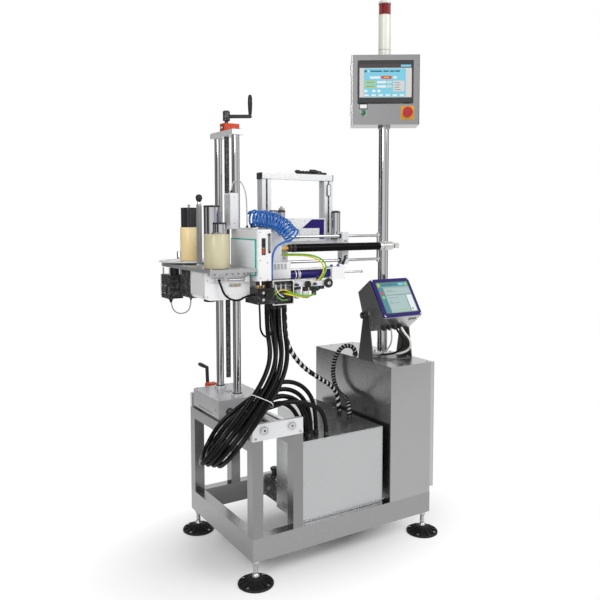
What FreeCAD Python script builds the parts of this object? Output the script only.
import FreeCAD, Part
import math
import os

import Sketcher

# Pallet labelling machine: a welded base with a cabinet, a column that is cranked sideways on a cross
# slide, and a labelling head that is cranked up and down the column.
# X runs to the right along the front, Y to the back and Z up, in millimetres. The origin is under the
# front left foot, on the floor.

os.makedirs("parts", exist_ok=True)
doc = FreeCAD.newDocument("PalletLabeller")

# Driving sizes
SIZES = {
    # Base frame
    "frame_long": 788,
    "frame_deep": 532,
    "tube_wide": 40,
    "rail_high": 80,
    "tube_wall": 3,
    "rail_base": 87,
    "post_top": 503,
    "second_post": 138,
    # Levelling feet
    "pad_radius": 62,
    "pad_rim": 9,
    "pad_high": 27,
    "ball_radius": 13,
    "stem_radius": 8,
    "nut_radius": 13,
    "nut_high": 12,
    # Cross slide
    "end_plate_thick": 15,
    "end_plate_high": 57,
    "guide_radius": 10,
    "guide_high": 34,
    "guide_left": 24,
    "guide_gap": 108,
    "cap_screw_radius": 15,
    "cap_screw_high": 6,
    "cap_screw_shank": 6,
    "cross_screw_radius": 8,
    "carriage_left": -20,
    "carriage_wide": 196,
    "carriage_front": 245,
    "carriage_deep": 235,
    "carriage_high": 52,
    "carriage_under": 22,
    "base_plate_thick": 15,
    # Column
    "column_x": 78,
    "column_front": 290,
    "column_gap": 150,
    "column_radius": 15,
    "column_high": 971,
    "column_screw_radius": 9,
    "column_screw_foot": 637,
    "journal_radius": 7,
    "column_top_wide": 46,
    "column_top_deep": 194,
    "column_top_thick": 20,
    # Position indicators
    "indicator_wide": 45,
    "indicator_long": 64,
    "indicator_thick": 29,
    # Cranks
    "hub_radius": 13.5,
    "hub_high": 38,
    "hub_lift": 10,
    "crank_reach": 100,
    "crank_rise": 8,
    "crank_arm_radius": 7,
    "grip_radius": 8.7,
    "grip_long": 74,
    "grip_pin_radius": 3,
    # Running clearance of shafts in their bores
    "running_gap": 0.05,
    # Labelling head
    "head_base": 985,
    "head_top": 1067,
    "head_left": 35,
    "head_wide": 86,
    "head_front": 255,
    "head_deep": 220,
    "web_left": 0,
    "web_front": 216,
    "web_high": 48,
    "platform_left": -140,
    "platform_front": 40,
    "platform_back": 566,
    "platform_right": 54,
    "platform_waist": 30,
    "platform_thick": 12,
    "platform_round": 94,
    "chassis_left": -135,
    "chassis_right": 33,
    "chassis_front": 95,
    "chassis_base": 972,
    "chassis_round": 22,
    # Reels and rollers
    "reel_x": -52,
    "reel_y": 425,
    "reel_disc_radius": 114,
    "reel_disc_thick": 5,
    "reel_lift": 4,
    "reel_core_radius": 31,
    "reel_high": 207,
    "left_roll_radius": 34,
    "left_roll_high": 124,
    "front_roll_x": -92,
    "front_roll_y": 92,
    "front_roll_radius": 43,
    "front_roll_high": 114,
    "front_core_radius": 12,
    "tall_roller_x": -56,
    "tall_roller_y": 210,
    "tall_roller_radius": 28,
    "tall_roller_high": 211,
    "short_roller_x": -50,
    "short_roller_y": 150,
    "short_roller_radius": 21,
    "short_roller_high": 152,
    "axle_radius": 5,
    "roller_lift": 2,
    "pin_roller_x": -42,
    "pin_roller_y": 551,
    "pin_roller_radius": 10,
    "pin_roller_high": 39,
    "stand_left": -92,
    "stand_front": 240,
    "stand_wide": 12,
    "stand_deep": 20,
    "stand_high": 218,
    "stand_ball_radius": 11,
    # Print module, its pad and the box above it
    "module_left": 40,
    "module_wide": 57,
    "module_front": 54,
    "module_deep": 200,
    "module_top": 1209,
    "pad_thick": 6,
    "pad_base": 1050,
    "pad_height": 127,
    "pad_margin": 4,
    "shelf_left": 14,
    "shelf_front": 205,
    "shelf_back": 265,
    "shelf_thick": 5,
    "sensor_left": 18,
    "sensor_front": 214,
    "sensor_wide": 32,
    "sensor_deep": 46,
    "sensor_high": 124,
    # Arm of two rods with its conduit
    "arm_y": 230,
    "arm_high_z": 1178,
    "arm_low_z": 1082,
    "arm_radius": 6,
    "arm_end": 697,
    "arm_block_right": 205,
    "arm_block_front": 172,
    "arm_block_back": 248,
    "arm_block_margin": 18,
    "strap_thick": 5,
    "strap_wide": 12,
    "conduit_y": 185,
    "conduit_z": 1137,
    "conduit_radius": 15.5,
    "conduit_left": 257,
    "conduit_pitch": 9,
    "sleeve_radius": 5,
    "clamp_left": 663,
    "clamp_right": 730,
    "clamp_radius": 17,
    "knob_radius": 11,
    "knob_long": 22,
    # Push cylinder
    "cylinder_y": 132,
    "cylinder_z": 1043,
    "cylinder_radius": 16,
    "cylinder_bore": 12,
    "cylinder_left": 205,
    "cylinder_right": 385,
    "cylinder_nose": 55,
    "cylinder_half": 24,
    "valve_top": 1090,
    "push_rod_radius": 4,
    "push_rod_end": 545,
    "push_stroke": 90,
    # Junction box, air service unit and valve block
    "junction_left": 100,
    "junction_wide": 86,
    "junction_front": 54,
    "junction_deep": 56,
    "junction_high": 87,
    "junction_wall": 3,
    "junction_recess": 14,
    "module_base": 1033,
    "service_right": 345,
    "service_front": 66,
    "service_deep": 22,
    "service_base": 1004,
    "service_high": 18,
    "bowl_x": 212,
    "bowl_radius": 13,
    "bowl_high": 42,
    "regulator_x": 248,
    "regulator_radius": 14,
    "regulator_high": 34,
    "wheel_x": 336,
    "wheel_radius": 17,
    "wheel_thick": 12,
    "valve_front": 36,
    "valve_back": 130,
    "valve_base": 955,
    "valve_high": 55,
    "fitting_radius": 7,
    # Motors under the platform
    "reel_motor_left": -150,
    "reel_motor_wide": 58,
    "reel_motor_front": 390,
    "reel_motor_deep": 80,
    "reel_motor_base": 951,
    "reel_motor_high": 88,
    "feed_motor_left": -125,
    "feed_motor_wide": 65,
    "feed_motor_front": 232,
    "feed_motor_deep": 98,
    "feed_motor_base": 968,
    # Printer portal on the arm
    "portal_left": 210,
    "portal_right": 537,
    "portal_front": 330,
    "profile_wide": 40,
    "portal_top": 1424,
    "beam_high": 24,
    "slot_wide": 8,
    "slot_deep": 9,
    "deck_left": 205,
    "deck_right": 560,
    "deck_front": 262,
    "deck_back": 420,
    "deck_base": 1148,
    "deck_thick": 12,
    "clamp_block_wide": 30,
    "clamp_block_half": 16,
    "right_block_left": 505,
    "printer_left": 300,
    "printer_right": 494,
    "printer_front": 312,
    "printer_back": 412,
    "printer_top": 1248,
    "left_roller_x": 272,
    "right_roller_x": 525,
    "print_roller_y": 290,
    "left_roller_radius": 15,
    "right_roller_radius": 19,
    "print_roller_high": 116,
    "post_roller_x": 236,
    "lever_reach": 34,
    # Low box
    "low_left": 182,
    "low_right": 549,
    "low_front": 5,
    "low_mid": 175,
    "low_wing": 360,
    "low_back": 480,
    "low_top": 460,
    "sheet_thick": 2.5,
    "front_panel_margin": 6,
    # Tall cabinet and its door
    "cabinet_left": 568,
    "cabinet_top": 688,
    "cabinet_front": -20,
    "cabinet_back": 501,
    "cabinet_wall": 3,
    "lid_thick": 2,
    "door_gap": 3,
    "door_thick": 18,
    "door_front": -15,
    "door_back": 495,
    "door_base": 185,
    "door_top": 686,
    "hinge_radius": 8,
    "hinge_pin_radius": 4,
    "hinge_x": 796,
    "hinge_y": 503,
    "hinge_low": 260,
    "hinge_high": 600,
    "hinge_long": 50,
    "latch_radius": 13,
    "latch_y": 14,
    "latch_z": 440,
    "control_margin": 40,
    # Pole and its operator panel
    "pole_x": 721,
    "pole_y": 230,
    "pole_radius": 21.2,
    "pole_flange_radius": 38,
    "pole_flange_thick": 8,
    "panel_base": 1621,
    "panel_wide": 271,
    "panel_high": 274,
    "panel_deep": 110,
    "panel_back": 45,
    "panel_turn": -34,
    "panel_round": 5,
    "screen_wide": 218,
    "screen_high": 166,
    "screen_thick": 5,
    "screen_top": 24,
    "button_side": 87,
    "button_up": 46,
    "start_radius": 11,
    "stop_radius": 20,
    "stop_neck": 12,
    "stop_plate": 54,
    "lamp_radius": 25,
    "lamp_column_high": 168,
    "lens_high": 42,
    "lamp_cap_high": 16,
    # Terminal on its yoke
    "yoke_thick": 4,
    "yoke_front": 92,
    "yoke_back": 190,
    "yoke_base_thick": 3,
    "tilt_y": 140,
    "tilt_z": 868,
    "yoke_head_radius": 18,
    "terminal_gap": 1.5,
    "terminal_frame": 7,
    "tilt_bolt_radius": 5,
    "tilt_knob_radius": 13,
    "tilt_knob_long": 20,
    "stub_reach": 14,
    # Hoses and wires
    "hose_radius": 8,
    "spiral_radius": 8,
    "cabinet_hose_radius": 8,
    "coil_radius": 32,
    "air_tube_radius": 4,
    "wire_radius": 3,
}

sheet = doc.addObject("Spreadsheet::Sheet", "Sizes")
for row, (alias, number) in enumerate(SIZES.items(), start=1):
    sheet.set(f"A{row}", alias)
    sheet.set(f"B{row}", str(number))
    sheet.setAlias(f"B{row}", alias)
doc.recompute()


def written(amount):
    """The text of a length in an expression."""
    return amount.text if isinstance(amount, Size) else f"({float(amount)})"


class Size(float):
    """A number that also knows the sheet expression that it comes from."""

    def __new__(cls, number, text):
        size = super().__new__(cls, number)
        size.text = text
        return size

    def __add__(self, other):
        return Size(float(self) + float(other), f"({self.text} + {written(other)})")

    def __radd__(self, other):
        return Size(float(other) + float(self), f"({written(other)} + {self.text})")

    def __sub__(self, other):
        return Size(float(self) - float(other), f"({self.text} - {written(other)})")

    def __rsub__(self, other):
        return Size(float(other) - float(self), f"({written(other)} - {self.text})")

    def __mul__(self, other):
        return Size(float(self) * float(other), f"({self.text} * {written(other)})")

    def __rmul__(self, other):
        return self * other

    def __truediv__(self, other):
        return Size(float(self) / float(other), f"({self.text} / {written(other)})")

    def __neg__(self):
        return 0 - self


class Dimensions:
    """The sheet's cells as attributes."""


d = Dimensions()
for alias in SIZES:
    setattr(d, alias, Size(sheet.get(alias), f"Sizes.{alias}"))

FACING = {
    "z": FreeCAD.Rotation(),
    "x": FreeCAD.Rotation(FreeCAD.Vector(1, 1, 1), 120),
    "-x": FreeCAD.Rotation(FreeCAD.Vector(0, 1, 0), -90),
    "y": FreeCAD.Rotation(FreeCAD.Vector(1, 0, 0), -90),
    "-y": FreeCAD.Rotation(FreeCAD.Vector(1, 0, 0), 90),
    "-z": FreeCAD.Rotation(FreeCAD.Vector(1, 0, 0), 180),
}
NODES = []


def place(item, at, facing="z"):
    """Turns an object and binds its position to the sheet."""
    item.Placement = FreeCAD.Placement(FreeCAD.Vector(), FACING[facing])
    for axis, amount in zip("xyz", at):
        item.setExpression(f"Placement.Base.{axis}", written(amount))
    return item


def block(low, high):
    """A box from its lowest to its highest corner."""
    item = doc.addObject("Part::Box", "Block")
    for field, a, b in zip(("Length", "Width", "Height"), low, high):
        item.setExpression(field, written(b - a))
    return place(item, low)


def rod(start, radius, length, facing="z"):
    """A cylinder from the centre of its first face."""
    item = doc.addObject("Part::Cylinder", "Rod")
    item.setExpression("Radius", written(radius))
    item.setExpression("Height", written(length))
    return place(item, start, facing)


def ball(centre, radius):
    item = doc.addObject("Part::Sphere", "Ball")
    item.setExpression("Radius", written(radius))
    return place(item, centre)


def taper(start, radius, end_radius, length, facing="z"):
    """A cone from the centre of its first face."""
    item = doc.addObject("Part::Cone", "Taper")
    item.setExpression("Radius1", written(radius))
    item.setExpression("Radius2", written(end_radius))
    item.setExpression("Height", written(length))
    return place(item, start, facing)


def join(*pieces):
    item = doc.addObject("Part::MultiFuse", "Join")
    item.Shapes = list(pieces)
    item.Refine = True
    return item


def cut(base, *tools):
    item = doc.addObject("Part::Cut", "Cut")
    item.Base = base
    item.Tool = tools[0] if len(tools) == 1 else group(*tools)
    return item


def group(*pieces):
    item = doc.addObject("Part::Compound", "Group")
    item.Links = list(pieces)
    return item


def node(name, *pieces):
    """Names one sub-part; several pieces stay separate solids."""
    item = pieces[0] if len(pieces) == 1 else group(*pieces)
    item.Label = name
    NODES.append(item)
    return item


def outline(body, points):
    """A closed sketch of straight lines whose corners are bound to the sheet."""
    plane = [f for f in body.Origin.OriginFeatures if f.Role == "XY_Plane"][0]
    sketch = body.newObject("Sketcher::SketchObject", "Outline")
    sketch.AttachmentSupport = (plane, [""])
    sketch.MapMode = "FlatFace"
    corners = [FreeCAD.Vector(a, b, 0) for a, b in points]
    count = len(corners)
    for i in range(count):
        sketch.addGeometry(Part.LineSegment(corners[i], corners[(i + 1) % count]), False)
    for i in range(count):
        sketch.addConstraint(Sketcher.Constraint("Coincident", i, 2, (i + 1) % count, 1))
    for i, corner in enumerate(points):
        for kind, amount in zip(("DistanceX", "DistanceY"), corner):
            mark = sketch.addConstraint(Sketcher.Constraint(kind, -1, 1, i, 1, float(amount)))
            sketch.setExpression(f"Constraints[{mark}]", written(amount))
    return sketch


def plate(points, thickness, at, facing="z", radius=None, chosen=None):
    """An outline padded to a thickness; the edges along it that are chosen are rounded."""
    body = doc.addObject("PartDesign::Body", "Plate")
    pad = body.newObject("PartDesign::Pad", "Pad")
    pad.Profile = outline(body, points)
    pad.setExpression("Length", written(thickness))
    if radius is not None:
        doc.recompute()
        names = []
        for i, edge in enumerate(pad.Shape.Edges, start=1):
            run = edge.Vertexes[-1].Point - edge.Vertexes[0].Point
            middle = edge.CenterOfMass
            upright = abs(run.z) > 0.99 * run.Length
            if upright and (chosen is None or chosen(middle.x, middle.y)):
                names.append(f"Edge{i}")
        fillet = body.newObject("PartDesign::Fillet", "Fillet")
        fillet.Base = (pad, names)
        fillet.setExpression("Radius", written(radius))
        body.Tip = fillet
    return place(body, at, facing)


def turned(points, at, facing="z"):
    """A profile of (radius, height) corners turned about the axis it stands on."""
    body = doc.addObject("PartDesign::Body", "Turned")
    sketch = outline(body, points)
    plane = [f for f in body.Origin.OriginFeatures if f.Role == "XZ_Plane"][0]
    sketch.AttachmentSupport = (plane, [""])
    revolution = body.newObject("PartDesign::Revolution", "Revolution")
    revolution.Profile = sketch
    revolution.ReferenceAxis = (sketch, ["V_Axis"])
    revolution.Angle = 360
    return place(body, at, facing)


def rectangle(wide, high):
    return [(0, 0), (wide, 0), (wide, high), (0, high)]


def rounded_path(points):
    """Edges of straight runs that tangent arcs join, and the radii of the arcs."""
    corners = [FreeCAD.Vector(*p) for p in points]
    edges = []
    radii = []
    start = corners[0]
    for before, corner, after in zip(corners, corners[1:], corners[2:]):
        back = (before - corner).normalize()
        ahead = (after - corner).normalize()
        half_turn = (math.pi - back.getAngle(ahead)) / 2
        reach = 0.45 * min((before - corner).Length, (after - corner).Length)
        bend = reach / math.tan(half_turn)
        first = corner + back * reach
        last = corner + ahead * reach
        towards = (back + ahead).normalize()
        middle = corner + towards * (bend / math.cos(half_turn) - bend)
        edges.append(Part.LineSegment(start, first).toShape())
        edges.append(Part.Arc(first, middle, last).toShape())
        radii.append(round(bend))
        start = last
    edges.append(Part.LineSegment(start, corners[-1]).toShape())
    return edges, radii


def tube_along(edges, radius):
    """A round solid along edges that follow each other."""
    path = Part.Wire(edges)
    start = edges[0].valueAt(edges[0].FirstParameter)
    tangent = edges[0].tangentAt(edges[0].FirstParameter)
    ring = Part.Wire([Part.Circle(start, tangent, float(radius)).toShape()])
    return path.makePipeShell([ring], True, False)


def swept(points, radius, label):
    """A round tube along a route, with its bend radii and its volume against a straight bar's printed."""
    edges, radii = rounded_path(points)
    shape = tube_along(edges, radius)
    length = sum(edge.Length for edge in edges)
    ratio = shape.Volume / (math.pi * float(radius) ** 2 * length)
    print(f"{label}: length {length:.0f}, radii {radii}, volume {ratio:.4f}")
    return shape


def swept_halves(points, corner, radius, label):
    """The same tube in two halves that meet flat just before the arc at a corner."""
    edges, radii = rounded_path(points)
    parts = [edges[: 2 * corner - 1], edges[2 * corner - 1:]]
    shapes = [tube_along(part, radius) for part in parts]
    length = sum(edge.Length for edge in edges)
    ratio = sum(shape.Volume for shape in shapes) / (math.pi * float(radius) ** 2 * length)
    print(f"{label}: length {length:.0f}, radii {radii}, volume {ratio:.4f}")
    return shapes


def feature(name, *shapes):
    item = doc.addObject("Part::Feature", "Feature")
    item.Shape = shapes[0] if len(shapes) == 1 else Part.makeCompound(list(shapes))
    return node(name, item)


# Places that several sub-parts share
half_tube = d.tube_wide / 2
frame_left = -half_tube
frame_right = frame_left + d.frame_long
frame_front = -half_tube
frame_back = frame_front + d.frame_deep
rail_top = d.rail_base + d.rail_high
guide_z = d.post_top + d.guide_high
guide_right = d.guide_left + d.guide_gap
cross_x = d.guide_left + d.guide_gap / 2
plate_inner_front = frame_front + d.end_plate_thick
plate_inner_back = frame_back - d.end_plate_thick
carriage_base = guide_z - d.carriage_under
carriage_top = carriage_base + d.carriage_high
column_foot = carriage_top + d.base_plate_thick
column_back = d.column_front + d.column_gap
screw_y = d.column_front + d.column_gap / 2
column_head = column_foot + d.column_high
column_top = column_head + d.column_top_thick
platform_top = d.head_top + d.platform_thick
module_right = d.module_left + d.module_wide
module_back = d.module_front + d.module_deep
cabinet_right = frame_right - 1


def base_rails():
    """Two long rails and two cross rails of rectangular tube, with welded end plates."""
    wall = d.tube_wall
    pieces = []
    for front in (frame_front, frame_back - d.tube_wide):
        outer = block((frame_left, front, d.rail_base), (frame_right - wall, front + d.tube_wide, rail_top))
        inner = block(
            (frame_left + wall, front + wall, d.rail_base + wall),
            (frame_right, front + d.tube_wide - wall, rail_top - wall),
        )
        pieces.append(cut(outer, inner))
        pieces.append(block((frame_right - wall, front, d.rail_base), (frame_right, front + d.tube_wide, rail_top)))
    for left in (frame_left, frame_right - d.tube_wide):
        front = frame_front + d.tube_wide
        back = frame_back - d.tube_wide
        outer = block((left, front, d.rail_base), (left + d.tube_wide, back, rail_top))
        inner = block((left + wall, front, d.rail_base + wall), (left + d.tube_wide - wall, back, rail_top - wall))
        pieces.append(cut(outer, inner))
    node("base_rails", *pieces)


def upper_frame():
    """Four square posts and the two rails between their tops."""
    wall = d.tube_wall
    wide = d.tube_wide
    pieces = []
    for left in (frame_left, d.second_post):
        for front in (frame_front, frame_back - wide):
            outer = block((left, front, rail_top), (left + wide, front + wide, d.post_top))
            inner = block(
                (left + wall, front + wall, rail_top),
                (left + wide - wall, front + wide - wall, d.post_top - wall),
            )
            pieces.append(cut(outer, inner))
        front = frame_front + wide
        back = frame_back - wide
        outer = block((left, front, d.post_top - wide), (left + wide, back, d.post_top))
        inner = block(
            (left + wall, front, d.post_top - wide + wall),
            (left + wide - wall, back, d.post_top - wall),
        )
        pieces.append(cut(outer, inner))
    node("upper_frame", *pieces)


def feet():
    """Levelling feet: a domed rubber pad, and a ball stem with its lock nut under the rail."""
    pads = []
    stems = []
    for x in (0, frame_right - half_tube):
        for y in (0, frame_back - half_tube):
            profile = [
                (0, 0),
                (d.pad_radius - 3, 0),
                (d.pad_radius, 3),
                (d.pad_radius, d.pad_rim),
                (d.pad_radius * 0.62, d.pad_high * 0.62),
                (d.pad_radius * 0.34, d.pad_high),
                (0, d.pad_high),
            ]
            pads.append(turned(profile, (x, y, 0)))
            neck = d.pad_high + d.ball_radius
            nut_base = d.rail_base - d.nut_high
            stem = [
                (0, d.pad_high),
                (d.ball_radius * 0.8, d.pad_high),
                (d.ball_radius, d.pad_high + d.ball_radius * 0.5),
                (d.ball_radius * 0.85, neck),
                (d.stem_radius, neck + 3),
                (d.stem_radius, nut_base),
                (d.nut_radius, nut_base),
                (d.nut_radius, d.rail_base),
                (0, d.rail_base),
            ]
            stems.append(turned(stem, (x, y, 0)))
    node("foot_pads", *pads)
    node("foot_stems", *stems)


def cross_slide():
    """End plates, guide rods with their cap screws, and the indicator at the back plate."""
    plates = []
    top = d.post_top + d.end_plate_high
    right = d.second_post + d.tube_wide
    hole = d.cap_screw_shank + 0.1
    reach = d.end_plate_thick
    for front in (frame_front, plate_inner_back):
        body = block((frame_left, front, d.post_top), (right, front + reach, top))
        holes = [rod((x, front, guide_z), hole, reach, "y") for x in (d.guide_left, guide_right)]
        if front == frame_front:
            bearing = rod(
                (cross_x, plate_inner_front - reach / 2, guide_z),
                d.journal_radius + d.running_gap,
                reach,
                "y",
            )
        else:
            bearing = rod((cross_x, front, guide_z), d.journal_radius + d.running_gap, reach, "y")
        plates.append(cut(body, *holes, bearing))
    node("slide_end_plates", *plates)
    rods = []
    for x in (d.guide_left, guide_right):
        rods.append(rod((x, plate_inner_front, guide_z), d.guide_radius, plate_inner_back - plate_inner_front, "y"))
        screw = [
            (0, -d.cap_screw_high),
            (d.cap_screw_radius - 2, -d.cap_screw_high),
            (d.cap_screw_radius, 2 - d.cap_screw_high),
            (d.cap_screw_radius, 0),
            (d.cap_screw_shank, 0),
            (d.cap_screw_shank, reach),
            (0, reach),
        ]
        rods.append(turned(screw, (x, frame_front, guide_z), "y"))
        rods.append(turned(screw, (x, frame_back, guide_z), "-y"))
    node("cross_guide_rods", *rods)
    node("cross_indicator", indicator((cross_x, frame_back, guide_z), "y"))


def indicator(at, facing):
    """A position indicator: a rounded housing with a sloping window end, on a shaft."""
    wide = d.indicator_wide / 2
    tail = d.indicator_wide * 0.42
    head = d.indicator_long - tail
    points = [(-tail, -wide), (head, -wide), (head, wide), (-tail, wide)]
    if facing == "y":
        points = [(-wide, -head), (wide, -head), (wide, tail), (-wide, tail)]
    body = plate(points, d.indicator_thick, at, facing, radius=6)
    bore = rod(at, d.journal_radius + d.running_gap, d.indicator_thick, facing)
    return cut(body, bore)


def crank_arm(hub, facing):
    """A hub, a rising arm and the pin for the grip, which points along the axis."""
    start = FreeCAD.Vector(0, 0, d.hub_high * 0.45)
    end = FreeCAD.Vector(d.crank_reach, 0, d.hub_high * 0.45 + d.crank_rise)
    item = doc.addObject("Part::Feature", "Arm")
    item.Shape = bar(start, end, d.crank_arm_radius)
    place(item, hub, facing)
    core = turned(
        [
            (0, 0),
            (d.hub_radius - 2, 0),
            (d.hub_radius, 2),
            (d.hub_radius, d.hub_high - 3),
            (d.hub_radius - 3, d.hub_high),
            (0, d.hub_high),
        ],
        hub,
        facing,
    )
    return item, core


def bar(start, end, radius):
    """A round bar with rounded ends."""
    direction = end - start
    length = direction.Length
    shape = Part.makeCylinder(radius, length, start, direction)
    return shape.fuse([Part.makeSphere(radius, start), Part.makeSphere(radius, end)])


def column():
    """Carriage on the cross slide, and the column that stands on it."""
    right = d.carriage_left + d.carriage_wide
    back = d.carriage_front + d.carriage_deep
    body = block((d.carriage_left, d.carriage_front, carriage_base), (right, back, carriage_top))
    bores = []
    for x, radius in ((d.guide_left, d.guide_radius), (guide_right, d.guide_radius), (cross_x, d.cross_screw_radius)):
        bores.append(rod((x, d.carriage_front, guide_z), radius + d.running_gap, d.carriage_deep, "y"))
    base = plate(
        rectangle(d.carriage_wide, d.carriage_deep),
        d.base_plate_thick,
        (d.carriage_left, d.carriage_front, carriage_top),
        radius=3,
    )
    node("cross_carriage", cut(body, *bores), base)
    node(
        "column_rods",
        *[rod((d.column_x, y, column_foot), d.column_radius, d.column_high) for y in (d.column_front, column_back)],
    )
    left = d.column_x - d.column_top_wide / 2
    front = screw_y - d.column_top_deep / 2
    top = plate(
        rectangle(d.column_top_wide, d.column_top_deep), d.column_top_thick, (left, front, column_head), radius=3
    )
    bearing = rod((d.column_x, screw_y, column_head), d.journal_radius + d.running_gap, d.column_top_thick)
    node("column_top", cut(top, bearing), indicator((d.column_x, screw_y, column_top), "z"))


def height_crank():
    """Lead screw of the column with its crank, and the grip that turns on the crank's pin."""
    shaft_top = column_top + d.indicator_thick + d.hub_lift
    thread = rod((d.column_x, screw_y, d.column_screw_foot), d.column_screw_radius, column_head - 0.5 - d.column_screw_foot)
    journal = rod((d.column_x, screw_y, d.column_screw_foot), d.journal_radius, shaft_top - d.column_screw_foot + 5)
    arm, core = crank_arm((d.column_x, screw_y, shaft_top), "z")
    pin_base = shaft_top + d.hub_high * 0.45 + d.crank_rise
    pin = rod((d.column_x + d.crank_reach, screw_y, pin_base), d.grip_pin_radius, d.grip_long + d.crank_arm_radius)
    node("height_crank", join(thread, journal, arm, core, pin))
    node("height_grip", grip((d.column_x + d.crank_reach, screw_y, pin_base + d.crank_arm_radius + 0.3), "z"))


def cross_crank():
    """Lead screw of the cross slide with its crank at the back, and the grip."""
    start = plate_inner_front - d.end_plate_thick / 2 + 0.5
    hub = frame_back + d.indicator_thick + 4
    thread = rod((cross_x, plate_inner_front + 0.5, guide_z), d.cross_screw_radius, plate_inner_back - plate_inner_front - 1, "y")
    journal = rod((cross_x, start, guide_z), d.journal_radius, hub + 5 - start, "y")
    core = turned(
        [
            (0, 0),
            (d.hub_radius - 2, 0),
            (d.hub_radius, 2),
            (d.hub_radius, d.hub_high - 10),
            (d.hub_radius - 3, d.hub_high - 7),
            (0, d.hub_high - 7),
        ],
        (cross_x, hub, guide_z),
        "y",
    )
    rise = d.hub_high * 0.45
    arm = doc.addObject("Part::Feature", "Arm")
    arm.Shape = bar(
        FreeCAD.Vector(0, rise, 0), FreeCAD.Vector(0, rise + d.crank_rise, d.crank_reach), d.crank_arm_radius
    )
    place(arm, (cross_x, hub, guide_z))
    pin_base = hub + rise + d.crank_rise
    pin = rod((cross_x, pin_base, guide_z + d.crank_reach), d.grip_pin_radius, d.grip_long + d.crank_arm_radius, "y")
    node("cross_crank", join(thread, journal, arm, core, pin))
    node("cross_grip", grip((cross_x, pin_base + d.crank_arm_radius + 0.3, guide_z + d.crank_reach), "y"))


def grip(at, facing):
    """A bellied revolving grip, bored for its pin."""
    bore = d.grip_pin_radius + d.running_gap
    length = d.grip_long
    return turned(
        [
            (bore, 0),
            (d.grip_radius * 0.7, 0),
            (d.grip_radius * 0.86, length * 0.2),
            (d.grip_radius, length * 0.55),
            (d.grip_radius * 0.94, length * 0.86),
            (d.grip_radius * 0.6, length),
            (bore, length),
        ],
        at,
        facing,
    )


def head_block():
    """Slide block on the column rods, with the web that carries the front units."""
    right = d.head_left + d.head_wide
    body = block((d.head_left, d.head_front, d.head_base), (right, d.head_front + d.head_deep, d.head_top))
    web = block((d.web_left, d.web_front, d.head_base), (right, d.head_front, d.head_base + d.web_high))
    high = d.head_top - d.head_base
    bores = [
        rod((d.column_x, y, d.head_base), radius + d.running_gap, high)
        for y, radius in (
            (d.column_front, d.column_radius),
            (column_back, d.column_radius),
            (screw_y, d.column_screw_radius),
        )
    ]
    node("head_block", cut(join(body, web), *bores))


def platform():
    """Plate that carries the reels, with the stand, the pin roller and the reel axles."""
    left = d.platform_left
    back = d.platform_back
    points = [
        (left, d.platform_front),
        (d.platform_waist, d.platform_front),
        (d.platform_waist, d.head_front),
        (d.platform_right, d.head_front),
        (d.platform_right, back),
        (left, back),
    ]
    far = float(back) - 1
    deck = plate(
        points, d.platform_thick, (0, 0, d.head_top), radius=d.platform_round, chosen=lambda x, y: y > far
    )
    axles = []
    for x, y, high in (
        (d.reel_x, d.reel_y, d.reel_high),
        (d.front_roll_x, d.front_roll_y, d.front_roll_high),
        (d.tall_roller_x, d.tall_roller_y, d.tall_roller_high),
        (d.short_roller_x, d.short_roller_y, d.short_roller_high),
    ):
        axles.append(rod((x, y, d.head_top), d.axle_radius, d.platform_thick + d.roller_lift + high))
    pin_roller = rod((d.pin_roller_x, d.pin_roller_y, platform_top), d.pin_roller_radius, d.pin_roller_high)
    stand = block(
        (d.stand_left, d.stand_front, platform_top),
        (d.stand_left + d.stand_wide, d.stand_front + d.stand_deep, platform_top + d.stand_high),
    )
    knob_x = d.stand_left + d.stand_wide / 2
    knob_y = d.stand_front + d.stand_deep / 2
    stand_top = platform_top + d.stand_high
    neck = rod((knob_x, knob_y, stand_top), d.stand_ball_radius * 0.4, d.stand_ball_radius * 2)
    knob = ball((knob_x, knob_y, stand_top + d.stand_ball_radius * 2), d.stand_ball_radius)
    node("platform", join(deck, *axles, pin_roller, stand, neck, knob))


def roller(name, x, y, base, radius, high, shoulder=2):
    """A turned roller that runs on an axle."""
    bore = d.axle_radius + d.running_gap
    node(
        name,
        turned(
            [
                (bore, 0),
                (radius - shoulder, 0),
                (radius, shoulder),
                (radius, high - shoulder),
                (radius - shoulder, high),
                (bore, high),
            ],
            (x, y, base),
        ),
    )


def reels():
    """Reel with its disc and core, the rolls of liner and the chrome rollers."""
    base = platform_top + d.roller_lift
    bore = d.axle_radius + d.running_gap
    disc_top = d.reel_lift + d.reel_disc_thick
    node(
        "reel_core",
        turned(
            [
                (bore, 0),
                (d.reel_core_radius, 0),
                (d.reel_core_radius, d.reel_lift),
                (d.reel_disc_radius, d.reel_lift),
                (d.reel_disc_radius, disc_top),
                (d.reel_core_radius, disc_top),
                (d.reel_core_radius, d.reel_high - 3),
                (d.reel_core_radius - 3, d.reel_high),
                (bore, d.reel_high),
            ],
            (d.reel_x, d.reel_y, base),
        ),
    )
    roll_base = base + disc_top + 2
    inner = d.reel_core_radius + 0.3
    node(
        "left_roll",
        turned(
            [
                (inner, 0),
                (d.left_roll_radius, 0),
                (d.left_roll_radius, d.left_roll_high),
                (inner, d.left_roll_high),
            ],
            (d.reel_x, d.reel_y, roll_base - 2 + 0.3),
        ),
    )
    roller("front_roll", d.front_roll_x, d.front_roll_y, base, d.front_roll_radius, d.front_roll_high, 1)
    roller("tall_roller", d.tall_roller_x, d.tall_roller_y, base, d.tall_roller_radius, d.tall_roller_high)
    roller("short_roller", d.short_roller_x, d.short_roller_y, base, d.short_roller_radius, d.short_roller_high)


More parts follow.
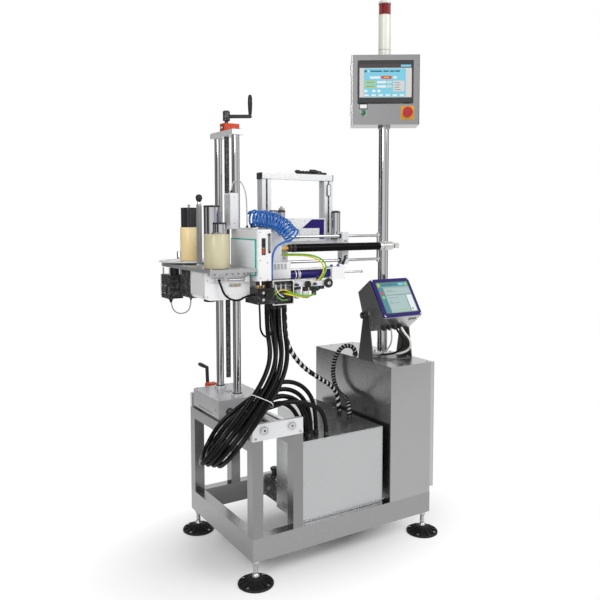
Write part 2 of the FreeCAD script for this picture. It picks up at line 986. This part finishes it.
def head_units():
    """Chassis, print module with its pad and sensor box, and the motors."""
    node(
        "chassis",
        plate(
            rectangle(d.chassis_right - d.chassis_left, d.head_top - d.chassis_base),
            d.web_front - d.chassis_front,
            (d.chassis_left, d.web_front, d.chassis_base),
            "-y",
            radius=d.chassis_round,
            chosen=lambda x, y: y < 1,
        ),
    )
    body = plate(
        rectangle(d.module_wide, d.module_deep),
        d.module_top - d.module_base,
        (d.module_left, d.module_front, d.module_base),
        radius=3,
    )
    shelf = block(
        (d.shelf_left, d.shelf_front, d.module_top), (module_right, d.shelf_back, d.module_top + d.shelf_thick)
    )
    sensor_base = d.module_top + d.shelf_thick
    sensor = plate(
        rectangle(d.sensor_wide, d.sensor_deep),
        d.sensor_high,
        (d.sensor_left, d.sensor_front, sensor_base),
        radius=2,
    )
    saddle_low = d.module_top
    saddle = block((52, 110, saddle_low), (70, 130, saddle_low + 6))
    node("print_module", join(body, shelf, saddle), sensor)
    pad_front = d.module_front + d.pad_margin
    pad_deep = d.module_deep - 2 * d.pad_margin
    node(
        "tamp_pad",
        plate(
            rectangle(pad_deep, d.pad_height),
            d.pad_thick,
            (d.module_left - d.pad_thick, pad_front, d.pad_base),
            "x",
            radius=2,
        ),
    )
    reel_motor = plate(
        rectangle(d.reel_motor_wide, d.reel_motor_deep),
        d.reel_motor_high,
        (d.reel_motor_left, d.reel_motor_front, d.reel_motor_base),
        radius=6,
    )
    neck_x = d.reel_motor_left + d.reel_motor_wide * 0.65
    neck = rod(
        (neck_x, d.reel_y, d.reel_motor_base + d.reel_motor_high),
        d.reel_motor_wide * 0.3,
        d.head_top - d.reel_motor_base - d.reel_motor_high,
    )
    feed_motor = plate(
        rectangle(d.feed_motor_wide, d.feed_motor_deep),
        d.head_top - d.feed_motor_base,
        (d.feed_motor_left, d.feed_motor_front, d.feed_motor_base),
        radius=5,
    )
    node("drive_motors", join(reel_motor, neck), feed_motor)


def arm():
    """Two rods out of a block on the module, the strap at their ends, and the ribbed conduit."""
    low = d.arm_low_z - d.arm_block_margin
    high = d.arm_high_z + d.arm_block_margin
    carrier = block((module_right, d.arm_block_front, low), (d.arm_block_right, d.arm_block_back, high))
    rods = [
        rod((d.arm_block_right - 20, d.arm_y, z), d.arm_radius, d.arm_end - d.strap_thick - d.arm_block_right + 20, "x")
        for z in (d.arm_low_z, d.arm_high_z)
    ]
    strap_left = d.arm_end - d.strap_thick
    strap = block(
        (strap_left, d.arm_y - d.strap_wide / 2, d.arm_low_z - d.strap_wide),
        (d.arm_end, d.arm_y + d.strap_wide / 2, d.arm_high_z + d.strap_wide),
    )
    tab = block(
        (strap_left, d.conduit_y, d.conduit_z - d.strap_wide),
        (d.arm_end, d.arm_y, d.conduit_z + d.strap_wide),
    )
    collar = turned(
        [
            (0, 0),
            (d.clamp_radius, 0),
            (d.clamp_radius, 12),
            (d.clamp_radius - 3, 14),
            (d.clamp_radius - 3, 22),
            (d.clamp_radius, 24),
            (d.clamp_radius, strap_left - d.clamp_left),
            (0, strap_left - d.clamp_left),
        ],
        (d.clamp_left, d.conduit_y, d.conduit_z),
        "x",
    )
    collar.Placement = FreeCAD.Placement(FreeCAD.Vector(), FreeCAD.Rotation(FreeCAD.Vector(0, 1, 0), 90))
    for axis, amount in zip("xyz", (d.clamp_left, d.conduit_y, d.conduit_z)):
        collar.setExpression(f"Placement.Base.{axis}", written(amount))
    outer = rod((d.arm_end, d.conduit_y, d.conduit_z), d.clamp_radius, d.clamp_right - d.arm_end, "x")
    stem = rod((d.clamp_right - 5, d.conduit_y, d.conduit_z), d.axle_radius, 20, "x")
    tip = rod((d.clamp_right + 12, d.conduit_y, d.conduit_z), d.knob_radius, d.knob_long, "x")
    node("arm_rods", join(carrier, *rods, strap, tab, collar), join(outer, stem, tip))
    length = d.clamp_left - d.conduit_left
    ribs = int(float(length) // float(d.conduit_pitch))
    pitch = length / ribs
    points = [(0, 0)]
    for i in range(ribs):
        points += [
            (d.conduit_radius, pitch * i),
            (d.conduit_radius, pitch * (i + 0.6)),
            (d.conduit_radius - 2, pitch * (i + 0.6)),
            (d.conduit_radius - 2, pitch * (i + 1)),
        ]
    points.append((0, length))
    item = doc.addObject("Part::Feature", "Conduit")
    wire = Part.makePolygon([FreeCAD.Vector(a, 0, b) for a, b in points] + [FreeCAD.Vector()])
    item.Shape = Part.Face(wire).revolve(FreeCAD.Vector(), FreeCAD.Vector(0, 0, 1), 360)
    place(item, (d.conduit_left, d.conduit_y, d.conduit_z), "x")
    sleeve = rod(
        (d.arm_block_right, d.conduit_y, d.conduit_z), d.sleeve_radius, d.conduit_left - d.arm_block_right, "x"
    )
    node("arm_conduit", item, sleeve)


def push_cylinder():
    """Valve body, barrel and nose of the push cylinder, and its rod with the piston."""
    y = d.cylinder_y
    z = d.cylinder_z
    half = d.cylinder_half
    valve = block((module_right, y - half, d.module_base), (d.cylinder_left, y + half, d.valve_top))
    barrel = rod((d.cylinder_left, y, z), d.cylinder_radius, d.cylinder_right - d.cylinder_left, "x")
    nose = block(
        (d.cylinder_right, y - half, z - half), (d.cylinder_right + d.cylinder_nose, y + half, z + half)
    )
    bore = rod((d.cylinder_left + 10, y, z), d.cylinder_bore, d.cylinder_right - d.cylinder_left - 10, "x")
    rod_bore = rod((d.cylinder_right - 1, y, z), d.push_rod_radius + d.running_gap, d.cylinder_nose + 2, "x")
    node("push_cylinder", cut(join(valve, barrel, nose), bore, rod_bore))
    piston_thick = 12
    piston_left = d.cylinder_right - piston_thick - 2
    piston = rod((piston_left, y, z), d.cylinder_bore - d.running_gap, piston_thick, "x")
    shaft = rod((piston_left, y, z), d.push_rod_radius, d.push_rod_end - piston_left, "x")
    node("push_rod", join(piston, shaft))


def service_units():
    """Open junction box, valve block, air manifold with bowl and regulator, and the clamp wheel."""
    left = d.junction_left
    right = left + d.junction_wide
    base = d.module_base - d.junction_high
    front = d.junction_front
    back = front + d.junction_deep
    wall = d.junction_wall
    case = block((left, front, base), (right, back, d.module_base))
    recess = block(
        (left + wall, front, base + wall), (right - wall, front + d.junction_recess, d.module_base - wall)
    )
    junction_box = cut(case, recess)
    valve_top = d.valve_base + d.valve_high
    valve = block((d.chassis_right, d.valve_front, d.valve_base), (module_right, d.valve_back, valve_top))
    fittings = [
        rod((d.chassis_right + x, d.module_front + 16, valve_top), d.fitting_radius, d.module_base - valve_top)
        for x in (18, 40)
    ]
    outlet = rod((d.chassis_right + 54, d.valve_front + 8, valve_top), d.fitting_radius, 16)
    node("valve_station", junction_box, join(valve, *fittings, outlet))
    middle = d.service_front + d.service_deep / 2
    manifold = block(
        (right, d.service_front, d.service_base),
        (d.service_right, d.service_front + d.service_deep, d.service_base + d.service_high),
    )
    bowl = turned(
        [
            (0, -d.bowl_high),
            (d.bowl_radius * 0.6, -d.bowl_high),
            (d.bowl_radius, -d.bowl_high * 0.8),
            (d.bowl_radius, 0),
            (0, 0),
        ],
        (d.bowl_x, middle, d.service_base),
    )
    regulator = turned(
        [
            (0, -d.regulator_high),
            (d.regulator_radius, -d.regulator_high),
            (d.regulator_radius, -d.regulator_high * 0.5),
            (d.regulator_radius * 0.7, -d.regulator_high * 0.45),
            (d.regulator_radius * 0.7, 0),
            (0, 0),
        ],
        (d.regulator_x, middle, d.service_base),
    )
    wheel_z = d.service_base + d.service_high / 2
    axle = rod((d.wheel_x, d.service_front - d.wheel_thick - 2, wheel_z), d.axle_radius, d.wheel_thick + 8, "y")
    node("air_service_unit", join(manifold, bowl, regulator, axle))
    wheel = turned(
        [
            (d.axle_radius + d.running_gap, 0),
            (d.wheel_radius * 0.6, 0),
            (d.wheel_radius * 0.6, 2),
            (d.wheel_radius, 2),
            (d.wheel_radius, d.wheel_thick - 2),
            (d.wheel_radius * 0.8, d.wheel_thick),
            (d.axle_radius + d.running_gap, d.wheel_thick),
        ],
        (d.wheel_x, d.service_front - 0.3, wheel_z),
        "-y",
    )
    node("clamp_wheel", wheel)


def profile_points(wide, slot, deep):
    """Square section with a slot in the middle of each side."""
    a = (wide - slot) / 2
    b = (wide + slot) / 2
    c = wide - deep
    return [
        (0, 0), (a, 0), (a, deep), (b, deep), (b, 0), (wide, 0),
        (wide, a), (c, a), (c, b), (wide, b), (wide, wide),
        (b, wide), (b, c), (a, c), (a, wide), (0, wide),
        (0, b), (deep, b), (deep, a), (0, a),
    ]


def printer():
    """Portal of slotted profile on a deck that is clamped to the arm, with the printer in it."""
    wide = d.profile_wide
    deck_top = d.deck_base + d.deck_thick
    beam_base = d.portal_top - d.beam_high
    deck = block((d.deck_left, d.deck_front, d.deck_base), (d.deck_right, d.deck_back, deck_top))
    section = profile_points(wide, d.slot_wide, d.slot_deep)
    uprights = [
        plate(section, beam_base - deck_top, (left, d.portal_front, deck_top))
        for left in (d.portal_left, d.portal_right - wide)
    ]
    beam = plate(
        [
            (0, 0),
            (wide, 0),
            (wide, d.beam_high),
            ((wide + d.slot_wide) / 2, d.beam_high),
            ((wide + d.slot_wide) / 2, d.beam_high - d.slot_deep),
            ((wide - d.slot_wide) / 2, d.beam_high - d.slot_deep),
            ((wide - d.slot_wide) / 2, d.beam_high),
            (0, d.beam_high),
        ],
        d.portal_right - d.portal_left,
        (d.portal_left, d.portal_front, beam_base),
        "x",
    )
    clamps = []
    for left in (d.portal_left + 15, d.right_block_left):
        right = left + d.clamp_block_wide
        body = block(
            (left, d.arm_y - d.clamp_block_half, d.arm_low_z - d.clamp_block_half),
            (right, d.arm_y + d.clamp_block_half, d.arm_high_z + d.clamp_block_half),
        )
        foot = block((left, d.arm_y, d.deck_base), (right, d.deck_front, deck_top))
        bores = [
            rod((left, d.arm_y, z), d.arm_radius + d.running_gap, d.clamp_block_wide, "x")
            for z in (d.arm_low_z, d.arm_high_z)
        ]
        clamps.append(cut(join(body, foot), *bores))
    lever_x = d.right_block_left + d.clamp_block_wide / 2
    lever_y = d.arm_y - d.clamp_block_half
    lever_pin = rod((lever_x, lever_y - 12, d.arm_low_z + 14), d.grip_pin_radius, 16, "y")
    post_high = d.print_roller_high
    post = rod((d.post_roller_x, d.print_roller_y, deck_top), d.left_roller_radius, post_high)
    axles = [
        rod((x, d.print_roller_y, deck_top), d.axle_radius, post_high)
        for x in (d.left_roller_x, d.right_roller_x)
    ]
    node("portal_frame", join(deck, *uprights, beam, *clamps, lever_pin, post, *axles))
    high = d.printer_top - deck_top
    long = d.printer_right - d.printer_left
    node(
        "printer_housing",
        plate(
            [(0, 0), (long, 0), (long, high), (long * 0.32, high), (0, high * 0.72)],
            d.printer_back - d.printer_front,
            (d.printer_left, d.printer_back, deck_top),
            "-y",
            radius=4,
        ),
    )
    base = deck_top + d.roller_lift
    high = d.print_roller_high - d.roller_lift
    roller("left_print_roller", d.left_roller_x, d.print_roller_y, base, d.left_roller_radius, high)
    roller("right_print_roller", d.right_roller_x, d.print_roller_y, base, d.right_roller_radius, high)
    lever = turned(
        [
            (d.grip_pin_radius + d.running_gap, 0),
            (7, 0),
            (7, 8),
            (d.grip_pin_radius + d.running_gap, 8),
        ],
        (lever_x, lever_y - 0.3, d.arm_low_z + 14),
        "-y",
    )
    handle = plate(
        [(6, -3), (6, 3), (d.lever_reach, 5), (d.lever_reach, -5)],
        5,
        (lever_x, lever_y - 1.5, d.arm_low_z + 14),
        "-y",
    )
    handle.Placement = FreeCAD.Placement(
        FreeCAD.Vector(), FreeCAD.Rotation(FreeCAD.Vector(0, 1, 0), 120).multiply(FACING["-y"])
    )
    for axis, amount in zip("xyz", (lever_x, lever_y - 1.5, d.arm_low_z + 14)):
        handle.setExpression(f"Placement.Base.{axis}", written(amount))
    node("clamp_lever", join(lever, handle))


def low_box():
    """Low sheet-metal cover with an L-shaped plan, open underneath, and its front panel."""
    thick = d.sheet_thick
    left, right = d.low_left, d.low_right
    points = [
        (left, d.low_front),
        (right, d.low_front),
        (right, d.low_back),
        (d.low_wing, d.low_back),
        (d.low_wing, d.low_mid),
        (left, d.low_mid),
    ]
    inside = [
        (left + thick, d.low_front + thick),
        (right - thick, d.low_front + thick),
        (right - thick, d.low_back - thick),
        (d.low_wing + thick, d.low_back - thick),
        (d.low_wing + thick, d.low_mid - thick),
        (left + thick, d.low_mid - thick),
    ]
    outer = plate(points, d.low_top - rail_top, (0, 0, rail_top))
    inner = plate(inside, d.low_top - thick - rail_top, (0, 0, rail_top))
    margin = d.front_panel_margin
    panel = block(
        (left + margin, d.low_front - thick, rail_top + 1), (right - margin, d.low_front, d.low_top - 3)
    )
    node("low_box", cut(outer, inner), panel)


def tall_cabinet():
    """Tall sheet-metal cabinet, open on the right where the door closes it, with its hinge pins."""
    wall = d.cabinet_wall
    top = d.cabinet_top - d.lid_thick
    shell = block((d.cabinet_left, d.cabinet_front, rail_top), (cabinet_right, d.cabinet_back, top))
    space = block(
        (d.cabinet_left + wall, d.cabinet_front + wall + 8, rail_top + wall + 15),
        (cabinet_right, d.cabinet_back - wall - 8, top - wall - 5),
    )
    lid = plate(
        rectangle(cabinet_right - d.cabinet_left, d.cabinet_back - d.cabinet_front),
        d.lid_thick,
        (d.cabinet_left, d.cabinet_front, top),
        radius=2,
    )
    hinges = []
    for z in (d.hinge_low, d.hinge_high):
        knuckle = rod((d.hinge_x, d.hinge_y, z), d.hinge_radius, d.hinge_long * 0.4)
        pin = rod((d.hinge_x, d.hinge_y, z), d.hinge_pin_radius, d.hinge_long)
        arm = block(
            (cabinet_right - 2, d.hinge_y - d.hinge_radius + 2, z), (d.hinge_x, d.hinge_y + 2, z + d.hinge_long * 0.4)
        )
        leaf = block(
            (cabinet_right - 20, d.cabinet_back, z), (cabinet_right, d.hinge_y + 2, z + d.hinge_long * 0.4)
        )
        hinges += [knuckle, pin, arm, leaf]
    node("tall_cabinet", join(cut(shell, space), *hinges), lid)
    inner_left = d.cabinet_left + wall
    margin = d.control_margin
    plate_base = rail_top + margin
    plate_front = d.cabinet_front + margin
    plate_back = d.cabinet_back - margin
    board = block(
        (inner_left, plate_front, plate_base), (inner_left + wall, plate_back, top - margin)
    )
    modules = [board]
    face = inner_left + wall
    rails = 3
    row_high = (top - margin - plate_base) / rails
    for row in range(rails):
        base = plate_base + row_high * row + 20
        deep = (60, 75, 50)[row]
        count = (3, 4, 6)[row]
        step = (plate_back - plate_front - 40) / count
        for i in range(count):
            start = plate_front + 20 + step * i
            modules.append(block((face, start, base), (face + deep, start + step - 6, base + row_high - 45)))
    node("control_plate", join(*modules))


def cabinet_door():
    """Door with a folded rim and hinge knuckles, its gasket and its quarter-turn latch."""
    left = cabinet_right + d.door_gap
    right = left + d.door_thick
    back = d.door_back
    front = d.door_front
    leaf = plate(
        rectangle(back - front, d.door_top - d.door_base), d.door_thick, (left, front, d.door_base), "x", radius=3
    )
    rim = 14
    hollow = block(
        (left - 1, front + rim, d.door_base + rim), (right - d.sheet_thick, back - rim, d.door_top - rim)
    )
    hole = rod((left, d.latch_y, d.latch_z), d.axle_radius + d.running_gap, d.door_thick, "x")
    knuckles = []
    bores = []
    for z in (d.hinge_low, d.hinge_high):
        base = z + d.hinge_long * 0.4 + 0.5
        high = d.hinge_long * 0.6 - 0.5
        knuckles.append(rod((d.hinge_x, d.hinge_y, base), d.hinge_radius, high))
        knuckles.append(block((right - 4, back - 20, base), (right + 4, d.hinge_y, base + high)))
        bores.append(rod((d.hinge_x, d.hinge_y, base), d.hinge_pin_radius + d.running_gap, high))
    node("cabinet_door", cut(join(cut(leaf, hollow), *knuckles), hole, *bores))
    ring = 8
    gap = 0.5
    outer = block(
        (cabinet_right + gap, front + 3, d.door_base + 3), (left, back - 3, d.door_top - 3)
    )
    inner = block(
        (cabinet_right - 1, front + 3 + ring, d.door_base + 3 + ring),
        (left + 1, back - 3 - ring, d.door_top - 3 - ring),
    )
    node("door_gasket", cut(outer, inner))
    knob = turned(
        [
            (0, 0.3),
            (d.latch_radius, 0.3),
            (d.latch_radius, 5),
            (d.latch_radius - 3, 8),
            (0, 8),
        ],
        (right, d.latch_y, d.latch_z),
    )
    knob.Placement = FreeCAD.Placement(FreeCAD.Vector(), FreeCAD.Rotation(FreeCAD.Vector(0, 1, 0), 90))
    for axis, amount in zip("xyz", (right, d.latch_y, d.latch_z)):
        knob.setExpression(f"Placement.Base.{axis}", written(amount))
    wing = block(
        (right + 7, d.latch_y - 3, d.latch_z - d.latch_radius + 1),
        (right + 15, d.latch_y + 3, d.latch_z + d.latch_radius - 1),
    )
    shaft = rod((left + 1, d.latch_y, d.latch_z), d.axle_radius, d.door_thick + 4, "x")
    node("door_latch", join(knob, wing, shaft))


def pole():
    """Pole with its flange on the cabinet's lid."""
    at = (d.pole_x, d.pole_y, d.cabinet_top)
    high = d.panel_base - d.cabinet_top
    wall = 2
    post = turned(
        [
            (d.pole_radius - wall, d.pole_flange_thick),
            (d.pole_radius + 2, d.pole_flange_thick),
            (d.pole_radius, d.pole_flange_thick + 2),
            (d.pole_radius, high - 0.3),
            (d.pole_radius - wall, high - 0.3),
        ],
        at,
    )
    flange = turned(
        [
            (d.pole_radius - wall, 0),
            (d.pole_flange_radius, 0),
            (d.pole_flange_radius, d.pole_flange_thick),
            (d.pole_radius - wall, d.pole_flange_thick),
        ],
        at,
    )
    node("pole", post, flange)


def on_pole(item):
    """Turns a sub-part that is modelled square to the pole's axis to the side it faces."""
    turn = FreeCAD.Rotation(FreeCAD.Vector(0, 0, 1), -float(d.panel_turn))
    holder = group(item)
    holder.Placement = FreeCAD.Placement(FreeCAD.Vector(), turn)
    holder.setExpression("Placement.Rotation.Angle", written(d.panel_turn))
    holder.setExpression("Placement.Base.x", written(d.pole_x))
    holder.setExpression("Placement.Base.y", written(d.pole_y))
    return holder


def operator_panel():
    """Box on the pole with the touch screen, the start and stop buttons and the lamp column."""
    half = d.panel_wide / 2
    front = d.panel_back - d.panel_deep
    top = d.panel_base + d.panel_high
    box = plate(
        rectangle(d.panel_wide, d.panel_deep),
        d.panel_high,
        (-half, front, d.panel_base),
        radius=d.panel_round,
    )
    button_z = d.panel_base + d.button_up
    start_hole = rod((-d.button_side, front, button_z), d.start_radius + 0.3, 16, "y")
    stop_hole = rod((d.button_side, front, button_z), d.stop_neck + 0.3, 16, "y")
    stop_plate = cut(
        block(
            (d.button_side - d.stop_plate / 2, front - 2, button_z - d.stop_plate / 2),
            (d.button_side + d.stop_plate / 2, front, button_z + d.stop_plate / 2),
        ),
        rod((d.button_side, front - 2, button_z), d.stop_neck + 0.3, 2, "y"),
    )
    node("panel_box", on_pole(group(cut(box, start_hole, stop_hole), stop_plate)))
    screen = plate(
        rectangle(d.screen_wide, d.screen_high),
        d.screen_thick,
        (-d.screen_wide / 2, front, top - d.screen_top - d.screen_high),
        "-y",
        radius=4,
    )
    node("touch_screen", on_pole(screen))
    start = turned(
        [
            (0, -10),
            (d.start_radius, -10),
            (d.start_radius, 6),
            (d.start_radius - 2, 8),
            (0, 8),
        ],
        (-d.button_side, front, button_z),
        "-y",
    )
    node("start_button", on_pole(start))
    stop = turned(
        [
            (0, -8),
            (d.stop_neck, -8),
            (d.stop_neck, 10),
            (d.stop_radius, 12),
            (d.stop_radius, 20),
            (d.stop_radius - 6, 26),
            (0, 27),
        ],
        (d.button_side, front, button_z),
        "-y",
    )
    node("stop_button", on_pole(stop))
    radius = d.lamp_radius
    column = turned(
        [
            (0, 0),
            (radius, 0),
            (radius, d.lamp_column_high),
            (radius - 2, d.lamp_column_high + 2),
            (0, d.lamp_column_high + 2),
        ],
        (0, 0, top),
    )
    lens_base = top + d.lamp_column_high + 2
    cap = turned(
        [
            (0, 0),
            (radius, 0),
            (radius, d.lamp_cap_high - 6),
            (radius - 5, d.lamp_cap_high),
            (0, d.lamp_cap_high),
        ],
        (0, 0, lens_base + d.lens_high),
    )
    node("lamp_column", on_pole(group(column, cap)))
    lens = turned(
        [(0, 0), (radius - 0.5, 0), (radius - 0.5, d.lens_high), (0, d.lens_high)], (0, 0, lens_base)
    )
    node("lamp_lens", on_pole(lens))


def terminal():
    """Display on a yoke that stands on the cabinet: yoke, housing, screen frame and knobs."""
    left = d.cabinet_left
    right = cabinet_right
    thick = d.yoke_thick
    base_top = d.cabinet_top + d.yoke_base_thick
    head = d.yoke_head_radius
    arms = []
    for x in (left, right - thick):
        points = [
            (d.yoke_front, d.cabinet_top),
            (d.yoke_back, d.cabinet_top),
            (d.tilt_y + head, d.tilt_z),
            (d.tilt_y + head * 0.6, d.tilt_z + head * 0.8),
            (d.tilt_y - head * 0.6, d.tilt_z + head * 0.8),
            (d.tilt_y - head, d.tilt_z),
        ]
        side = plate(points, thick, (x, 0, 0), "x")
        arms.append(cut(side, rod((x, d.tilt_y, d.tilt_z), d.tilt_bolt_radius + d.running_gap, thick, "x")))
    foot = block((left + thick, d.yoke_front, d.cabinet_top), (right - thick, d.yoke_back, base_top))
    node("terminal_yoke", join(*arms, foot))
    inner_left = left + thick + d.terminal_gap
    wide = right - left - 2 * (thick + d.terminal_gap)
    profile = [(33, 867), (125, 1006), (200, 953), (170, 870), (112, 806)]
    side_points = [(d.tilt_y - 140 + y, d.tilt_z - 868 + z) for y, z in profile]
    housing = plate(side_points, wide, (inner_left, 0, 0), "x", radius=4)
    stub_left = left - d.stub_reach
    stub = rod((stub_left, d.tilt_y, d.tilt_z), d.tilt_bolt_radius, inner_left + 2 - stub_left, "x")
    inner_right = inner_left + wide
    pivot = rod((inner_right - 2, d.tilt_y, d.tilt_z), d.tilt_bolt_radius, right + 3 - inner_right, "x")
    head_long = d.tilt_knob_long - 0.5
    pivot_head = rod((right + 0.5, d.tilt_y, d.tilt_z), d.tilt_knob_radius, head_long, "x")
    node("terminal_housing", join(housing, stub, pivot, pivot_head))
    low = FreeCAD.Vector(0, profile[0][0], profile[0][1])
    high = FreeCAD.Vector(0, profile[1][0], profile[1][1])
    slope = math.degrees(math.atan2(high.z - low.z, high.y - low.y))
    reach = (high - low).Length
    frame = plate(rectangle(wide, reach), d.terminal_frame, (0, 0, 0), radius=6)
    lean = FreeCAD.Rotation(FreeCAD.Vector(1, 0, 0), slope)
    frame.Placement = FreeCAD.Placement(FreeCAD.Vector(), lean)
    for axis, amount in zip("xyz", (inner_left, side_points[0][0], side_points[0][1])):
        frame.setExpression(f"Placement.Base.{axis}", written(amount))
    node("terminal_screen", frame)
    start = left - d.tilt_knob_long
    knob = rod((start, d.tilt_y, d.tilt_z), d.tilt_knob_radius, d.tilt_knob_long - d.running_gap, "x")
    bore = rod(
        (stub_left - d.running_gap, d.tilt_y, d.tilt_z),
        d.tilt_bolt_radius + d.running_gap,
        d.stub_reach + d.running_gap,
        "x",
    )
    node("tilt_knob", cut(knob, bore))


# Routes of the hoses and wires, chosen by hand. The bundle's middle line runs down from the head, round
# its lowest point and back up over the cross slide, where the hoses spread to their own places.
BUNDLE_DOWN = [(126, 62, 846), (112, 24, 764), (56, -14, 682), (-36, -46, 600), (-134, -66, 520)]
BUNDLE_TURN = (-166, 6, 446)
BUNDLE_BACK = [(-122, 82, 462), (-80, 66, 532), (-24, 42, 590)]
BUNDLE_SIDE = (0.856, -0.518, 0)
HOSES = [
    ((-30, 12), (82, 64, 955), [(66, 58, 658), (160, 64, 676), (240, 62, 640), (284, 62, 560), (284, 62, 460)]),
    ((-10, 12), (112, 70, 946), [(66, 60, 634), (150, 66, 650), (222, 64, 616), (262, 62, 540), (262, 62, 460)]),
    ((10, 12), (133, 70, 946), [(66, 60, 611), (142, 66, 626), (206, 66, 592), (240, 62, 524), (240, 62, 460)]),
    ((30, 12), (154, 70, 946), [(66, 56, 588), (134, 64, 602), (188, 66, 570), (218, 62, 510), (218, 62, 460)]),
    ((-10, -10), (116, 92, 946), [(70, 36, 622), (140, 40, 630), (204, 40, 596), (236, 36, 530), (236, 36, 460)]),
    ((10, -10), (140, 92, 946), [(70, 28, 596), (140, 22, 612), (220, 18, 594), (300, 18, 548), (300, 18, 460)]),
]
SPIRAL_HOSE = [
    (172, 98, 946), (172, 98, 870), (184, 100, 790), (258, 122, 704), (358, 160, 640), (446, 196, 590),
    (500, 226, 530), (500, 226, 460),
]
CABINET_HOSE = [
    (606, 262, 688), (606, 262, 718), (568, 294, 726), (542, 320, 672), (538, 330, 596), (530, 280, 536),
    (520, 206, 530), (498, 150, 508), (498, 150, 460),
]
COIL = [(50, 120, 1247), (122, 120, 1247), (186, 120, 1220), (222, 120, 1180)]
COIL_TAIL = [(206, 112, 1168), (170, 102, 1162), (134, 94, 1146), (112, 84, 1104), (112, 80, 1033)]
EARTH_WIRE = [
    (205, 176, 1112), (258, 168, 1112), (318, 158, 1108), (356, 134, 1088), (350, 106, 1052), (318, 110, 1012),
    (288, 90, 976), (250, 52, 968), (205, 40, 972), (152, 44, 984), (152, 68, 984),
]
HEAD_CABLES = [
    [(-88, 95, 1040), (-88, 78, 1036), (-72, 76, 985), (-28, 70, 966), (4, 60, 986), (33, 58, 988)],
    [(-130, 420, 951), (-130, 418, 916), (-122, 378, 896), (-108, 326, 904), (-100, 300, 930), (-100, 300, 968)],
    [(34, 236, 1338), (34, 234, 1376), (60, 228, 1390), (84, 222, 1350), (88, 220, 1280), (88, 220, 1214)],
]


def bundle_points(sideways, outwards):
    """One hose's corners along the bundle, moved off its middle line."""
    middle = [FreeCAD.Vector(*p) for p in BUNDLE_DOWN + [BUNDLE_TURN] + BUNDLE_BACK]
    befores = [FreeCAD.Vector(126, 70, 946)] + middle[:-1]
    afters = middle[1:] + [FreeCAD.Vector(80, 55, 625)]
    side = FreeCAD.Vector(*BUNDLE_SIDE)
    points = []
    for before, here, after in zip(befores, middle, afters):
        along = (after - before).normalize()
        outer = along.cross(side).normalize()
        across = outer.cross(along).normalize()
        points.append(here + across * sideways + outer * outwards)
    return points


def hoses():
    """Hose bundle in two halves, spiral hose, cabinet hose, blue air coil with its tail, and the wires."""
    upper = []
    lower = []
    for i, ((sideways, outwards), top, ends) in enumerate(HOSES):
        points = bundle_points(sideways, outwards)
        turn = len(BUNDLE_DOWN)
        straight = (top[0], top[1], points[0].z + 20)
        whole = [FreeCAD.Vector(*p) for p in (top, straight)] + points[1:] + [FreeCAD.Vector(*p) for p in ends]
        first, second = swept_halves(whole, turn + 1, d.hose_radius, f"hose {i}")
        upper.append(first)
        lower.append(second)
    feature("hoses_upper", *upper)
    feature("hoses_lower", *lower)
    feature(
        "side_hoses",
        swept(SPIRAL_HOSE, d.spiral_radius, "spiral hose"),
        swept(CABINET_HOSE, d.cabinet_hose_radius, "cabinet hose"),
    )
    coil = swept(COIL, d.coil_radius, "air coil")
    core = swept(COIL, d.coil_radius - 2 * d.air_tube_radius, "air coil inside")
    tail = swept(COIL_TAIL, d.air_tube_radius, "air coil tail")
    feature("air_coil", coil.cut(core).fuse(tail))
    step = FreeCAD.Vector(7, -6, 4)
    yellow = [FreeCAD.Vector(*p) for p in EARTH_WIRE]
    green = [p + step for p in yellow]
    green[0].x = yellow[0].x
    green[-1].y = yellow[-1].y
    wires = [swept(yellow, d.wire_radius, "yellow wire"), swept(green, d.wire_radius, "green wire")]
    cables = [swept(points, 2.5, f"head cable {i}") for i, points in enumerate(HEAD_CABLES)]
    feature("head_cables", *wires, *cables)


def air_filter():
    """Filter unit behind the low box, with its valve on top."""
    left = d.low_left + 3
    right = left + 50
    back = d.low_mid + 105
    body = plate(rectangle(right - left, back - d.low_mid), 77, (left, d.low_mid, 180), radius=4)
    body_top = 180 + 77
    valve = turned(
        [(0, 0), (16, 0), (16, 12), (11, 14), (11, 26), (15, 28), (15, 34), (0, 34)],
        (left + 22, d.low_mid + 60, body_top),
    )
    node("air_filter", body, valve)


for build in (
    base_rails, upper_frame, feet, cross_slide, column, height_crank, cross_crank, head_block, platform, reels,
    head_units, arm, push_cylinder, service_units, printer, low_box, tall_cabinet, cabinet_door, pole,
    operator_panel, terminal, hoses, air_filter,
):
    build()

doc.recompute()
for item in doc.Objects:
    if "Invalid" in item.State or "Error" in item.State:
        raise RuntimeError(f"{item.Name} ({item.Label}) failed: {item.State}")
for item in NODES:
    if item.Shape.isNull() or not item.Shape.isValid():
        raise RuntimeError(f"{item.Label} has no valid shape")
for item in NODES:
    item.Shape.exportStep(f"parts/{item.Label}.step")
print(f"{len(NODES)} nodes, {sum(len(item.Shape.Solids) for item in NODES)} solids")
